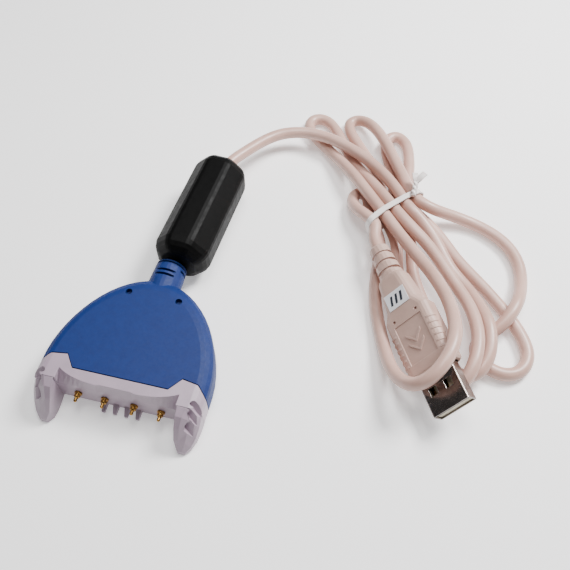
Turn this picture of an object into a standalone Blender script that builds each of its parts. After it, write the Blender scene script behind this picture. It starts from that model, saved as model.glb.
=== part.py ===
"""USB microcontroller programmer: a spring-pin clip head, a ferrite bead, a folded USB lead and its plug.

Run with: blender --background --python part.py
Lengths below are in millimetres and angles in degrees; MM turns a length into metres.
The head lies along +Y with its contacts at the -Y end, +X to its right and +Z up, arm tips on z = 0.
"""
import math

import bmesh
import bpy
from mathutils import Matrix, Vector

MM = 0.001

# ---- clip head, outside ----
HEAD_WIDTH = 48.8          # over the sides of the body
BODY_UNDERSIDE = 1.2       # the body stands this far above the arm tips
BODY_TOP = 12.5
BODY_STRAIGHT = 7.9        # contact face to where the plan starts to arch
BODY_ARCH = 30.2           # length of the arched part
ARCH_POWER = 1.7           # fullness of the arch in plan
TOP_ROUND = 3.6
UNDER_ROUND = 2.2
ARM_REACH = 8.7            # arm tips ahead of the contact face
ARM_GAP = 35.6             # clear width between the arms
GRIP_SLOT_W = 1.35         # three slanted finger slots outside each arm
GRIP_SLOT_L = 5.0
GRIP_SLOT_DEEP = 0.75
BOOT_LENGTH = 7.6
BOOT_BASE_D = 10.2
BOOT_END_D = 9.6
CABLE_AXIS_Z = 7.1         # height of the cable where it leaves the head
FIT = 0.3                  # gap between neighbours
FINE_FIT = 0.1             # gap inside the spring pins and on the plug's contacts

# ---- clip head, inside ----
JACKET_WALL = 2.4          # side wall of the blue jacket
JACKET_FLOOR = 1.2
JACKET_ROOF = 1.8
SPIGOT_WIDTH = 34.4
SPIGOT_LENGTH = 6.0        # how far the nose plugs into the jacket
SPIGOT_WALL = 0.8
FACE_WALL = 1.6
BOARD_WIDTH = 28.0
BOARD_LENGTH = 17.6
BOARD_THICK = 1.0

# ---- spring pins ----
PIN_INNER_X = 4.35
PIN_OUTER_X = 12.25
PIN_Z = 5.2
PIN_FLANGE_D = 2.3
PIN_FLANGE_T = 0.5
BARREL_D = 1.8
BARREL_BORE_D = 1.4
BARREL_SHOW = 1.6          # barrel standing out of the contact face
BARREL_BACK = 5.6          # barrel behind the contact face
PLUNGER_D = 1.0
PLUNGER_SHOW = 1.4         # tip standing out of the barrel
PIN_TRAVEL = 1.2
TAIL_D = 0.8
TAIL_LENGTH = 3.4
CABLE_STANDOFF = 3.4       # cable jacket starts this far behind the board

# ---- teeth under the contact face ----
TOOTH_COUNT = 4
TOOTH_PITCH = 3.4
TOOTH_ROOT_W = 2.0
TOOTH_TIP_W = 1.0
TOOTH_REACH = 2.3

# ---- ferrite bead ----
FERRITE_ACROSS = 17.6      # over the flats of the octagon
FERRITE_LENGTH = 42.0
FERRITE_NEAR = (1.9, 27.75)     # plan position of the centre of its near end
FERRITE_YAW = -3.7             # turned clockwise in plan
FERRITE_BORE = 7.8         # through the core
FERRITE_HOLE = 5.2         # through the cover, round the cable
FERRITE_CORE_D = 13.0
FERRITE_CORE_LENGTH = 29.0

# ---- lead and plug ----
CABLE_D = 4.0
PLUG_MOUTH = (90.2, -0.5, 9.2)  # centre of the shell's open end
PLUG_YAW = 30.0
PLUG_ROLL = 45.0
PLUG_PITCH = -1.5
SHELL_WIDTH = 12.0
SHELL_HEIGHT = 4.5
SHELL_WALL = 0.35
SHELL_SHOW = 12.0
SHELL_HIDDEN = 7.0
TONGUE_THICK = 1.85
GRIP_WIDTH = 15.5
GRIP_HEIGHT = 7.5
GRIP_END = 31.0            # end of the wide part, from the mouth
NECK_WIDTH = 11.2
NECK_END = 45.0
PLUG_BOOT_D = 7.4
PLUG_BOOT_END_D = 6.3
PLUG_LENGTH = 57.0         # mouth to the end of the boot
PREMOULD_END = SHELL_SHOW + SHELL_HIDDEN + 8.3

# ---- twist tie round the hank ----
TIE_CENTRE = (63.9, 66.4)
TIE_ACROSS = (0.66, 0.75)  # direction over the hank
TIE_LEFT = -13.0
TIE_RIGHT = 12.4
TIE_BOTTOM = 0.15
TIE_TOP = 10.7
TIE_THICK = 0.5
TIE_WIDTH = 2.2

FACE_Y = -(BODY_STRAIGHT + BODY_ARCH + BOOT_LENGTH - ARM_REACH) / 2   # middle of the head's length on y = 0
BODY_END_Y = FACE_Y + BODY_STRAIGHT + BODY_ARCH
BOOT_END_Y = BODY_END_Y + BOOT_LENGTH
HALF = HEAD_WIDTH / 2
PIN_XS = (-PIN_OUTER_X, -PIN_INNER_X, PIN_INNER_X, PIN_OUTER_X)

# Route of the free lead, ferrite to plug: points chosen by hand round which the smooth curve runs.
# T and U are the two layers of strands where the tie holds the hank.
LOW, T, U = 2.1, 3.5, 7.8
ROUTE = [
    # out of the ferrite and over to the hank
    (4.63, 70.05, 8.8), (5.9, 74.2, 8.8), (8.6, 79.0, 8.3), (13.0, 87.0, 7.2), (18.0, 93.0, 6.6),
    (24.4, 95.9, 6.4), (30.8, 96.3, 6.5), (37.2, 94.9, 6.8), (43.6, 92.1, 7.0), (50.2, 88.3, 7.2),
    (57.2, 82.9, 7.4), (63.5, 75.9, 7.6), (68.0, 68.9, U),
    # down the right side, under the plug and back
    (71.2, 66.5, 7.5), (74.2, 64.5, 6.0), (77.6, 61.4, 4.9), (80.7, 56.9, 4.3), (84.3, 50.9, 3.2),
    (88.4, 46.7, 2.7), (92.0, 42.9, 2.9), (95.1, 36.9, 5.0), (97.7, 30.3, 7.4), (98.8, 24.5, 7.2),
    (98.8, 19.4, 6.6), (97.2, 14.7, 5.6), (93.9, 12.3, 4.0), (90.6, 13.3, 2.6), (88.2, 17.5, LOW),
    (82.2, 29.5, LOW), (77.0, 38.0, LOW), (73.2, 46.9, LOW), (72.7, 54.5, LOW), (70.0, 61.5, 3.0),
    (66.3, 67.0, T),
    # third loop beyond the tie
    (64.0, 70.3, 3.0), (63.2, 74.5, LOW), (62.8, 81.0, LOW), (61.3, 87.3, LOW), (58.7, 93.5, LOW),
    (56.6, 99.5, LOW), (56.6, 104.7, LOW), (60.2, 107.1, LOW), (64.2, 103.7, LOW), (65.9, 97.0, LOW),
    (66.8, 89.5, LOW), (67.2, 81.0, LOW), (67.8, 75.1, 3.0), (70.2, 71.1, T),
    # long low strand, the open loop at its end, and the high strand back
    (76.6, 66.7, 3.0), (82.2, 61.2, LOW), (86.4, 55.3, LOW), (92.0, 49.9, LOW), (97.4, 44.8, LOW),
    (104.8, 36.7, LOW), (108.9, 30.7, LOW), (111.2, 24.9, LOW), (109.7, 19.1, LOW), (105.2, 16.5, LOW),
    (101.0, 17.1, LOW), (97.2, 19.1, LOW), (95.0, 22.9, LOW), (96.4, 26.7, 2.2), (100.0, 29.5, 3.6),
    (103.1, 32.9, 5.6), (104.9, 36.9, 6.5), (106.2, 41.1, 5.9), (107.1, 45.5, 4.2), (107.7, 51.3, 2.3),
    (106.9, 57.1, LOW), (104.7, 62.0, LOW), (101.1, 66.2, LOW), (95.5, 69.6, LOW), (89.9, 71.4, 2.3),
    (84.4, 71.5, 3.8), (79.3, 70.7, 5.7), (75.2, 70.3, 7.4), (70.9, 72.2, U),
    # second loop beyond the tie
    (67.4, 76.9, 7.4), (65.3, 81.9, 6.7), (62.9, 86.5, 6.5), (60.2, 91.5, 6.4), (56.6, 98.1, 6.4),
    (52.4, 104.8, 5.6), (48.2, 109.9, 3.8), (44.4, 111.7, 2.4), (41.2, 109.5, LOW), (42.4, 104.9, LOW),
    (46.6, 99.1, LOW), (51.3, 92.8, LOW), (55.3, 87.5, LOW), (58.0, 81.7, LOW), (58.9, 75.3, LOW),
    (59.9, 68.7, 3.0), (63.0, 63.25, T),
    # under the plug, round below its shell, and back on top
    (66.4, 58.1, 3.0), (68.0, 52.5, LOW), (68.6, 45.5, LOW), (73.1, 35.9, LOW), (78.2, 27.3, LOW),
    (82.8, 18.5, LOW), (85.0, 14.3, LOW), (86.4, 9.9, 2.4), (88.8, 7.1, 3.9), (92.0, 8.5, 6.4),
    (93.9, 12.5, 8.7), (94.7, 17.4, 9.2), (94.9, 23.1, 9.0), (93.7, 29.3, 8.1), (91.5, 35.0, 7.2),
    (87.8, 40.7, 6.4), (81.0, 49.9, 6.8), (76.2, 55.7, 6.9), (71.0, 59.9, 7.6), (65.1, 65.65, U),
    # first loop beyond the tie
    (61.0, 70.7, 7.3), (57.2, 75.7, 6.2), (53.2, 80.7, 4.8), (49.2, 86.1, 2.6), (45.0, 92.3, LOW),
    (41.2, 98.1, LOW), (38.0, 103.7, LOW), (34.6, 108.1, LOW), (30.4, 109.5, LOW), (27.2, 107.5, LOW),
    (27.0, 103.5, LOW), (30.0, 99.5, LOW), (35.4, 94.7, 2.2), (41.4, 88.5, 3.6), (45.2, 83.7, 5.2),
    (49.3, 78.6, 6.5), (55.3, 70.7, 7.4), (62.3, 62.4, U),
    # up over the plug and shell, down its left side and back under the boot
    (66.8, 56.7, 8.0), (71.8, 50.1, 9.3), (76.4, 43.9, 11.0), (81.0, 37.1, 12.8), (84.8, 29.5, 14.4),
    (86.6, 22.3, 16.2), (87.0, 16.1, 18.1), (85.6, 9.4, 18.4), (82.9, 4.2, 16.8), (79.0, 1.6, 13.2),
    (74.8, 4.1, 8.6), (71.2, 10.3, 4.8), (68.6, 17.8, 2.9), (66.2, 24.7, LOW), (64.0, 31.7, LOW),
    (62.8, 38.5, LOW), (62.4, 45.5, LOW), (62.7, 52.5, 3.0), (59.8, 59.6, T),
    # small turn hidden under the hank, then into the plug's boot
    (56.9, 63.9, 3.0), (55.4, 68.5, LOW), (55.2, 72.6, LOW), (53.6, 75.6, LOW), (50.9, 76.0, LOW),
    (49.3, 73.4, 2.2), (49.9, 69.6, 3.2), (52.0, 65.9, 5.0), (55.0, 62.6, 7.0), (59.5, 59.1, U),
    (59.2, 54.6, 7.6),
]


# ---------------------------------------------------------------- helpers

def clear_scene():
    for old in list(bpy.data.objects):
        bpy.data.objects.remove(old, do_unlink=True)


def material(name, colour, roughness, metallic=0.0):
    mat = bpy.data.materials.new(name)
    mat.use_nodes = True
    shader = mat.node_tree.nodes["Principled BSDF"]
    shader.inputs["Base Color"].default_value = (*colour, 1.0)
    shader.inputs["Roughness"].default_value = roughness
    shader.inputs["Metallic"].default_value = metallic
    mat.diffuse_color = (*colour, 1.0)
    return mat


def add_object(name, data, mat=None):
    obj = bpy.data.objects.new(name, data)
    bpy.context.scene.collection.objects.link(obj)
    if mat is not None:
        data.materials.append(mat)
    return obj


def finish_mesh(name, bm, mat=None, smooth=None):
    """Turns a bmesh built in millimetres into an object in metres."""
    bmesh.ops.recalc_face_normals(bm, faces=bm.faces)
    bmesh.ops.scale(bm, vec=(MM, MM, MM), verts=bm.verts)
    mesh = bpy.data.meshes.new(name)
    bm.to_mesh(mesh)
    bm.free()
    if smooth is not None:
        mesh.shade_smooth()
        mesh.set_sharp_from_angle(angle=math.radians(smooth))
    return add_object(name, mesh, mat)


def loft(rings):
    """Closed bmesh through rings of equal point counts, capped at both ends."""
    bm = bmesh.new()
    loops = [[bm.verts.new(p) for p in ring] for ring in rings]
    count = len(loops[0])
    for lower, upper in zip(loops, loops[1:]):
        for i in range(count):
            j = (i + 1) % count
            bm.faces.new((lower[i], lower[j], upper[j], upper[i]))
    bm.faces.new(reversed(loops[0]))
    bm.faces.new(loops[-1])
    return bm


def prism(outline, low, high):
    """Plan outline raised from height low to height high."""
    return loft([[(x, y, low) for x, y in outline], [(x, y, high) for x, y in outline]])


def block(x0, x1, y0, y1, z0, z1):
    return prism([(x0, y0), (x1, y0), (x1, y1), (x0, y1)], z0, z1)


def turned(profile, sides):
    """Solid of revolution about the Y axis; profile is (y, radius) from front to back."""
    rings = []
    for y, radius in profile:
        rings.append([(radius * math.cos(a), y, radius * math.sin(a))
                      for a in (math.tau * i / sides for i in range(sides))])
    return loft(rings)


def turned_shell(profile, sides):
    """Turned ring whose (y, radius) profile closes on itself and never meets the Y axis."""
    bm = bmesh.new()
    loops = []
    for i in range(sides):
        a = math.tau * i / sides
        loops.append([bm.verts.new((r * math.cos(a), y, r * math.sin(a))) for y, r in profile])
    for i in range(sides):
        here, there = loops[i], loops[(i + 1) % sides]
        for k in range(len(profile)):
            m = (k + 1) % len(profile)
            bm.faces.new((here[k], here[m], there[m], there[k]))
    return bm


def shift(bm, x, y, z):
    bmesh.ops.translate(bm, vec=(x, y, z), verts=bm.verts)
    return bm


def boolean(target, other, operation):
    """Leaves a live Boolean on target and marks the other object as a guide."""
    other.hide_render = True
    other.display_type = "WIRE"
    mod = target.modifiers.new(other.name, "BOOLEAN")
    mod.operation = operation
    mod.solver = "EXACT"
    mod.object = other


def cut(target, name, bm):
    boolean(target, finish_mesh("cutter_" + name, bm), "DIFFERENCE")


def join(target, name, bm):
    boolean(target, finish_mesh("joined_" + name, bm), "UNION")


def rounded_rectangle(width, height, radius, steps=4):
    """Points of a rounded rectangle about the origin, anticlockwise."""
    points = []
    corners = ((1, 1, 0), (-1, 1, 90), (-1, -1, 180), (1, -1, 270))
    for sx, sy, start in corners:
        cx, cy = sx * (width / 2 - radius), sy * (height / 2 - radius)
        for i in range(steps + 1):
            a = math.radians(start + 90 * i / steps)
            points.append((cx + radius * math.cos(a), cy + radius * math.sin(a)))
    return points


def tube(name, points, diameter, mat, resolution=2):
    """Poly curve with a round bevel and filled caps; points in millimetres."""
    curve = bpy.data.curves.new(name, "CURVE")
    curve.dimensions = "3D"
    curve.bevel_depth = diameter / 2 * MM
    curve.bevel_resolution = resolution
    curve.use_fill_caps = True
    spline = curve.splines.new("POLY")
    spline.points.add(len(points) - 1)
    for knot, p in zip(spline.points, points):
        knot.co = (p[0] * MM, p[1] * MM, p[2] * MM, 1.0)
    return add_object(name, curve, mat)


def smooth_curve(route, steps=12):
    """Uniform cubic B-spline drawn by the route's points; starts and ends on its end points."""
    pts = [Vector(p) for p in route]
    pts = [2 * pts[0] - pts[1]] + pts + [2 * pts[-1] - pts[-2]]
    curve = []
    for a, b, c, d in zip(pts, pts[1:], pts[2:], pts[3:]):
        for k in range(steps):
            t = k / steps
            curve.append((a * (1 - t) ** 3 + b * (3 * t ** 3 - 6 * t * t + 4)
                          + c * (3 * t * (1 + t - t * t) + 1) + d * t ** 3) / 6)
    curve.append(pts[-2])
    return curve


def thinned(curve, sag, longest, bores):
    """Fewest points of a fine curve whose chords stay within sag of it and under the longest step.

    The first and last lengths of it, as long as bores says, run in close holes
    and keep to a tenth of a millimetre.
    """
    kept = [0]
    i = 0
    while i < len(curve) - 1:
        j = i + 1
        in_bore = (curve[i] - curve[0]).length < bores[0] or (curve[i] - curve[-1]).length < bores[1]
        limit = 0.1 if in_bore else sag
        while j < len(curve) - 1:
            trial = j + 1
            chord = curve[trial] - curve[i]
            if chord.length > longest:
                break
            worst = max((curve[k] - curve[i]).cross(chord).length / chord.length
                        for k in range(i + 1, trial))
            if worst > limit:
                break
            j = trial
        kept.append(j)
        i = j
    return [curve[k] for k in kept]


# ---------------------------------------------------------------- clip head

def arch_outline(inset=0.0, front=None):
    """Plan of the head's body: straight sides that close in a full arch; front is its -Y end."""
    half = HALF - inset
    straight_end = FACE_Y + BODY_STRAIGHT
    reach = BODY_ARCH - inset * 1.3
    front = FACE_Y - ARM_REACH if front is None else front
    right = [(half, front), (half, straight_end)]
    steps = 14
    for i in range(1, steps):
        u = math.sin(math.radians(90 * i / steps))
        right.append((half * math.sqrt(1 - u ** ARCH_POWER), straight_end + reach * u))
    left = [(-x, y) for x, y in reversed(right)]
    return right + [(0.0, straight_end + reach)] + left


def body_blank(name, mat=None):
    """The head's rounded body, whole, before the nose and the jacket are parted."""
    rings = []
    for step in range(4):
        a = math.radians(90 * step / 3)
        inset, z = UNDER_ROUND * (1 - math.sin(a)), BODY_UNDERSIDE + UNDER_ROUND * (1 - math.cos(a))
        rings.append([(x, y, z) for x, y in arch_outline(inset)])
    for step in range(5):
        a = math.radians(90 * step / 4)
        inset, z = TOP_ROUND * (1 - math.cos(a)), BODY_TOP - TOP_ROUND * (1 - math.sin(a))
        rings.append([(x, y, z) for x, y in arch_outline(inset)])
    return finish_mesh(name, loft(rings), mat, smooth=35)


def seam_outline(gap):
    """Stepped line between nose and jacket, closed far ahead of the head; gap moves it forward."""
    y = FACE_Y - gap
    step_in, step_out, corner = 13.9, 16.8, 21.4
    line = [(HALF + 6, y - 1.0), (HALF, y + 4.3), (corner, y + 7.1), (step_out, y + 7.8), (step_in, y + 4.0)]
    return line + [(-a, b) for a, b in reversed(line)] + [(-HALF - 6, y - 40), (HALF + 6, y - 40)]


def build_jacket():
    blue = material("blue_vinyl", (0.025, 0.105, 0.36), 0.6)
    jacket = body_blank("head_jacket", blue)
    end, slim = BOOT_END_Y, BOOT_END_D / 2
    boot = turned([(BODY_END_Y - 6.0, BOOT_BASE_D / 2), (BODY_END_Y, BOOT_BASE_D / 2),
                   (end - 1.5, slim + 0.05),
                   (end - 1.45, slim - 0.55), (end - 0.85, slim - 0.55), (end - 0.8, slim),
                   (end - 0.4, slim - 0.05), (end, slim - 0.5)], 28)
    join(jacket, "boot", shift(boot, 0, 0, CABLE_AXIS_Z))
    cut(jacket, "nose_seat", prism(seam_outline(0.0), -5, 30))
    cavity_low, cavity_high = BODY_UNDERSIDE + JACKET_FLOOR, BODY_TOP - JACKET_ROOF
    cut(jacket, "board_space", prism(arch_outline(JACKET_WALL), cavity_low, cavity_high))
    bore = turned([(BODY_END_Y - 12, CABLE_D / 2 + FIT), (BOOT_END_Y - 2, CABLE_D / 2 + FIT),
                   (BOOT_END_Y + 0.5, CABLE_D / 2 + 2 * FIT)], 20)
    cut(jacket, "cable_bore", shift(bore, 0, 0, CABLE_AXIS_Z))
    for side in (-1, 1):
        pin_mark = prism([(1.05 * math.cos(math.tau * i / 16), 1.05 * math.sin(math.tau * i / 16))
                          for i in range(16)], BODY_TOP - 1.5, BODY_TOP + 2)
        cut(jacket, "mould_pin_" + ("left" if side < 0 else "right"),
            shift(pin_mark, side * 7.75, FACE_Y + 31.0, 0))
    across = BOOT_END_D / 2 - 1.1
    for index, ahead in enumerate((2.6, 4.2, 5.8)):
        y = BOOT_END_Y - ahead
        for side, name in ((-1, "low"), (1, "high")):
            if index == 0:
                low, high = sorted((side * across, side * 9))
                slot = block(low, high, y - 0.4, y + 0.4, CABLE_AXIS_Z - 2.8, CABLE_AXIS_Z + 2.8)
            else:
                low, high = sorted((side * across, side * 9))
                slot = block(-3.0, 3.0, y - 0.4, y + 0.4, CABLE_AXIS_Z + low, CABLE_AXIS_Z + high)
            cut(jacket, f"boot_slot_{index + 1}_{name}", slot)
    return jacket


def arm_rings(side):
    """Sections of one claw arm, from inside the nose to its tip."""
    inner = ARM_GAP / 2
    # distance ahead of the face, inner x, underside, foot x, outer x with its low and high edge,
    # shoulder x and z, ridge x, top
    stations = (
        (-3.5, inner, BODY_UNDERSIDE + 0.1, HALF - 1.6, HALF - 0.15, 3.0, 8.6, HALF - 1.4, 11.2,
         HALF - 3.9, BODY_TOP - 0.1),
        (0.2, inner, 0.9, HALF - 1.2, HALF - 0.05, 2.9, 8.4, HALF - 1.3, 11.1, HALF - 3.9, BODY_TOP - 0.15),
        (2.6, inner, 0.3, HALF - 1.3, HALF - 0.2, 2.4, 6.8, HALF - 2.1, 9.5, inner + 1.9, 11.3),
        (4.9, inner, 0.0, HALF - 1.4, HALF - 0.7, 1.6, 4.6, HALF - 2.9, 6.9, inner + 1.5, 8.3),
        (7.0, inner + 0.2, 0.0, HALF - 1.9, HALF - 1.6, 1.0, 2.8, HALF - 3.3, 4.2, inner + 1.4, 4.9),
        (ARM_REACH, inner + 1.3, 0.0, HALF - 3.4, HALF - 3.1, 0.4, 1.1, HALF - 3.9, 1.7, inner + 1.9, 1.9),
    )
    rings = []
    for ahead, xi, under, foot, outer, low, high, shoulder, level, ridge, top in stations:
        ring = [(xi, under), (foot, under), (outer, low), (outer, high), (shoulder, level),
                (ridge, top), (xi, top)]
        rings.append([(side * x, FACE_Y - ahead, z) for x, z in ring])
    return rings


def build_nose():
    grey = material("grey_polycarbonate", (0.58, 0.53, 0.57), 0.42)
    nose = body_blank("nose_housing", grey)
    rear = finish_mesh("joined_nose_region", prism(seam_outline(FIT), -5, 30))
    boolean(nose, rear, "INTERSECT")
    cut(nose, "contact_face", block(-HALF - 9, HALF + 9, FACE_Y - 30, FACE_Y, -5, 30))
    low, high = BODY_UNDERSIDE + JACKET_FLOOR + FIT, BODY_TOP - JACKET_ROOF - FIT
    spigot_back = FACE_Y + 4.0 + SPIGOT_LENGTH
    half = SPIGOT_WIDTH / 2
    join(nose, "spigot", block(-half, half, FACE_Y + 2.5, spigot_back, low, high))
    for side in (-1, 1):
        join(nose, "arm_" + ("left" if side < 0 else "right"), loft(arm_rings(side)))
    cut(nose, "pin_pocket", block(-half + SPIGOT_WALL, half - SPIGOT_WALL, FACE_Y + FACE_WALL,
                                  spigot_back + 4, low + SPIGOT_WALL, high - SPIGOT_WALL))
    stations = []
    for i in range(-12, 13):
        x = i * (ARM_GAP / 2 - 0.4) / 12
        edge = FACE_Y + 0.25 + 2.2 * abs(i / 12 * 1.08) ** 3.5 + (0.35 if abs(i) <= 3 else 0.0)
        stations.append([(x, FACE_Y - 6, BODY_TOP - 3.5), (x, FACE_Y - 0.02, BODY_TOP - 3.5),
                         (x, edge, BODY_TOP), (x, edge + 0.3, BODY_TOP + 2), (x, FACE_Y - 6, BODY_TOP + 2)])
    cut(nose, "bowed_brow", loft(stations))
    for index, x in enumerate(PIN_XS):
        hole = turned([(FACE_Y - 2, BARREL_D / 2 + 0.15), (FACE_Y + FACE_WALL + 1, BARREL_D / 2 + 0.15)], 20)
        cut(nose, f"pin_hole_{index + 1}", shift(hole, x, 0, PIN_Z))
    for index in range(TOOTH_COUNT):
        x = (index - (TOOTH_COUNT - 1) / 2) * TOOTH_PITCH
        root = [(x - TOOTH_ROOT_W / 2, FACE_Y + 1.2, 1.5), (x + TOOTH_ROOT_W / 2, FACE_Y + 1.2, 1.5),
                (x + TOOTH_ROOT_W / 2, FACE_Y + 1.2, 3.6), (x - TOOTH_ROOT_W / 2, FACE_Y + 1.2, 3.6)]
        half_tip, tip_y = TOOTH_TIP_W / 2, FACE_Y - TOOTH_REACH
        tip = [(x - half_tip, tip_y, 0.1), (x + half_tip, tip_y, 0.1),
               (x + half_tip, tip_y, 0.9), (x - half_tip, tip_y, 0.9)]
        join(nose, f"tooth_{index + 1}", loft([root, tip]))
    grip_places = ((-0.6, HALF - 1.75, 11.0), (1.7, HALF - 2.1, 9.75), (4.3, HALF - 2.5, 7.2))
    slot = rounded_rectangle(GRIP_SLOT_W, GRIP_SLOT_L, GRIP_SLOT_W / 2 - 0.05)
    for side in (-1, 1):
        lean = Matrix.Rotation(side * math.radians(48), 4, "Y") @ Matrix.Rotation(math.radians(-24), 4, "X")
        turn = lean @ Matrix.Rotation(side * math.radians(62), 4, "Z")
        for index, (ahead, x, z) in enumerate(grip_places):
            groove = prism(slot, -GRIP_SLOT_DEEP, 3.0)
            bmesh.ops.transform(groove, matrix=turn, verts=groove.verts)
            name = f"grip_{'left' if side < 0 else 'right'}_{index + 1}"
            cut(nose, name, shift(groove, side * x, FACE_Y - ahead, z))
    return nose


def build_pins():
    gold = material("gold_plate", (0.85, 0.58, 0.24), 0.28, 1.0)
    steel = material("spring_steel", (0.6, 0.6, 0.62), 0.35, 1.0)
    front = FACE_Y - BARREL_SHOW
    back = FACE_Y + BARREL_BACK
    bore = BARREL_BORE_D / 2
    lip = PLUNGER_D / 2 + FINE_FIT
    wall = BARREL_D / 2
    for index, x in enumerate(PIN_XS):
        number = index + 1
        profile = [(front + 0.35, bore), (front, lip), (front - 0.01, wall - 0.15), (front + 0.2, wall),
                   (FACE_Y - PIN_FLANGE_T - FINE_FIT, wall), (FACE_Y - PIN_FLANGE_T - FINE_FIT, PIN_FLANGE_D / 2),
                   (FACE_Y - FINE_FIT, PIN_FLANGE_D / 2), (FACE_Y - FINE_FIT, wall), (back, wall),
                   (back, TAIL_D / 2), (back + TAIL_LENGTH, TAIL_D / 2), (back + TAIL_LENGTH, 0.12),
                   (back - 0.5, 0.12), (back - 0.5, bore)]
        barrel = finish_mesh(f"pin_barrel_{number}", turned_shell(profile, 14), gold, smooth=40)
        barrel.location = (x * MM, 0, PIN_Z * MM)
        collar = lip + 0.05
        tip = front - PLUNGER_SHOW
        plunger_profile = [(tip, 0.16), (tip + 0.1, 0.34), (tip + 0.3, PLUNGER_D / 2),
                           (front + 0.45, PLUNGER_D / 2),
                           (front + 0.47, collar), (front + 1.4, collar)]
        body = shift(turned(plunger_profile, 14), 0, -front, 0)
        plunger = finish_mesh(f"pin_plunger_{number}", body, gold, smooth=40)
        plunger.location = (x * MM, front * MM, PIN_Z * MM)
        spring_start, spring_end = front + 1.4 + PIN_TRAVEL + FIT, back - 0.5 - FINE_FIT
        turns, per_turn = 5, 8
        coil = []
        for i in range(turns * per_turn + 1):
            a = math.tau * i / per_turn
            y = spring_start + 0.1 + (spring_end - spring_start - 0.2) * i / (turns * per_turn)
            coil.append((0.5 * math.cos(a), y, 0.5 * math.sin(a)))
        spring = tube(f"pin_spring_{number}", coil, 0.2, steel, resolution=0)
        spring.location = (x * MM, 0, PIN_Z * MM)


def build_pin_block():
    black = material("black_nylon", (0.02, 0.02, 0.022), 0.5)
    low = BODY_UNDERSIDE + JACKET_FLOOR + FIT + SPIGOT_WALL + FIT
    high = BODY_TOP - JACKET_ROOF - FIT - SPIGOT_WALL - FIT
    half = SPIGOT_WIDTH / 2 - SPIGOT_WALL - FIT
    carrier = finish_mesh("pin_carrier", block(-half, half, FACE_Y + FACE_WALL + FIT, FACE_Y + BARREL_BACK - 0.6,
                                               low, high), black)
    for index, x in enumerate(PIN_XS):
        hole = turned([(FACE_Y, BARREL_D / 2 + 0.15), (FACE_Y + BARREL_BACK + 3, BARREL_D / 2 + 0.15)], 16)
        cut(carrier, f"carrier_hole_{index + 1}", shift(hole, x, 0, PIN_Z))


def build_board():
    green = material("solder_mask_green", (0.01, 0.16, 0.05), 0.4)
    epoxy = material("chip_epoxy", (0.015, 0.015, 0.016), 0.55)
    silver = material("crystal_can", (0.7, 0.7, 0.7), 0.25, 1.0)
    tantalum = material("tantalum_yellow", (0.75, 0.45, 0.06), 0.5)
    ceramic = material("resistor_film", (0.03, 0.03, 0.035), 0.4)
    top = PIN_Z - TAIL_D / 2 - 0.2
    start = FACE_Y + BARREL_BACK + FIT
    end = start + BOARD_LENGTH
    half = BOARD_WIDTH / 2
    outline = [(-half, start), (half, start), (half, start + 10), (half - 4.5, end), (-half + 4.5, end),
               (-half, start + 10)]
    finish_mesh("circuit_board", prism(outline, top - BOARD_THICK, top), green)
    chips = (
        ("microcontroller_chip", -5.2, 9.2, 9.0, 9.0, 1.4, epoxy),
        ("interface_chip", 5.4, 7.3, 5.3, 7.5, 1.6, epoxy),
        ("crystal", 5.0, 12.8, 5.0, 2.8, 1.2, silver),
        ("voltage_regulator", 10.9, 8.0, 3.6, 6.5, 1.7, epoxy),
        ("capacitor_left", -11.9, 7.2, 2.8, 3.5, 1.9, tantalum),
        ("capacitor_right", -5.6, 15.7, 3.5, 1.9, 1.4, tantalum),
        ("resistor_1", -8.3, 3.4, 2.0, 1.25, 0.55, ceramic),
        ("resistor_2", -1.0, 3.4, 2.0, 1.25, 0.55, ceramic),
        ("resistor_3", 9.6, 3.4, 2.0, 1.25, 0.55, ceramic),
        ("resistor_4", 0.9, 11.5, 1.25, 2.0, 0.55, ceramic),
    )
    for name, x, back, width, length, height, mat in chips:
        y = start + back
        body = block(x - width / 2, x + width / 2, y - length / 2, y + length / 2,
                     top + FINE_FIT, top + FINE_FIT + height)
        finish_mesh(name, body, mat)
    return top, end


def build_wires(board_top, board_end):
    """Cable crimp and the four cores between the cable's end and the board."""
    steel = material("crimp_brass", (0.7, 0.55, 0.3), 0.35, 1.0)
    start = board_end + CABLE_STANDOFF
    collar = turned_shell([(start + 3.0, CABLE_D / 2 + 0.15), (start + 3.0, CABLE_D / 2 + 0.8),
                           (start + 5.4, CABLE_D / 2 + 0.8), (start + 5.4, CABLE_D / 2 + 0.15)], 20)
    finish_mesh("cable_crimp", shift(collar, 0, 0, CABLE_AXIS_Z), steel, smooth=40)
    colours = (("red", (0.5, 0.02, 0.02)), ("white", (0.8, 0.8, 0.78)), ("green", (0.02, 0.3, 0.06)),
               ("black", (0.02, 0.02, 0.02)))
    for index, (colour, rgb) in enumerate(colours):
        side = index - 1.5
        path = [(side * 1.15, start - FIT, CABLE_AXIS_Z), (side * 1.2, start - 1.2, CABLE_AXIS_Z),
                (side * 1.5, start - 2.8, CABLE_AXIS_Z - 0.4), (side * 1.8, board_end - 0.8, board_top + 0.9),
                (side * 1.9, board_end - 2.4, board_top + 0.65)]
        tube(f"wire_{colour}", path, 0.9, material(f"wire_{colour}", rgb, 0.4), resolution=1)


# ---------------------------------------------------------------- ferrite bead

def place_on_ferrite(obj):
    obj.location = (FERRITE_NEAR[0] * MM, FERRITE_NEAR[1] * MM, FERRITE_ACROSS / 2 * MM)
    obj.rotation_euler = (0, 0, math.radians(FERRITE_YAW))


def octagon(across, soft):
    """Octagon with flats left, right, up and down, in X and Z; soft is each corner's share of the turn."""
    points = []
    for i in range(8):
        middle = 22.5 + 45 * i
        edge = across / 2 / math.cos(math.radians(22.5 - soft / 2))
        for offset, r in ((-soft / 2, edge), (0, edge * 1.01), (soft / 2, edge)):
            a = math.radians(middle + offset)
            points.append((r * math.cos(a), r * math.sin(a)))
    return points


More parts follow.
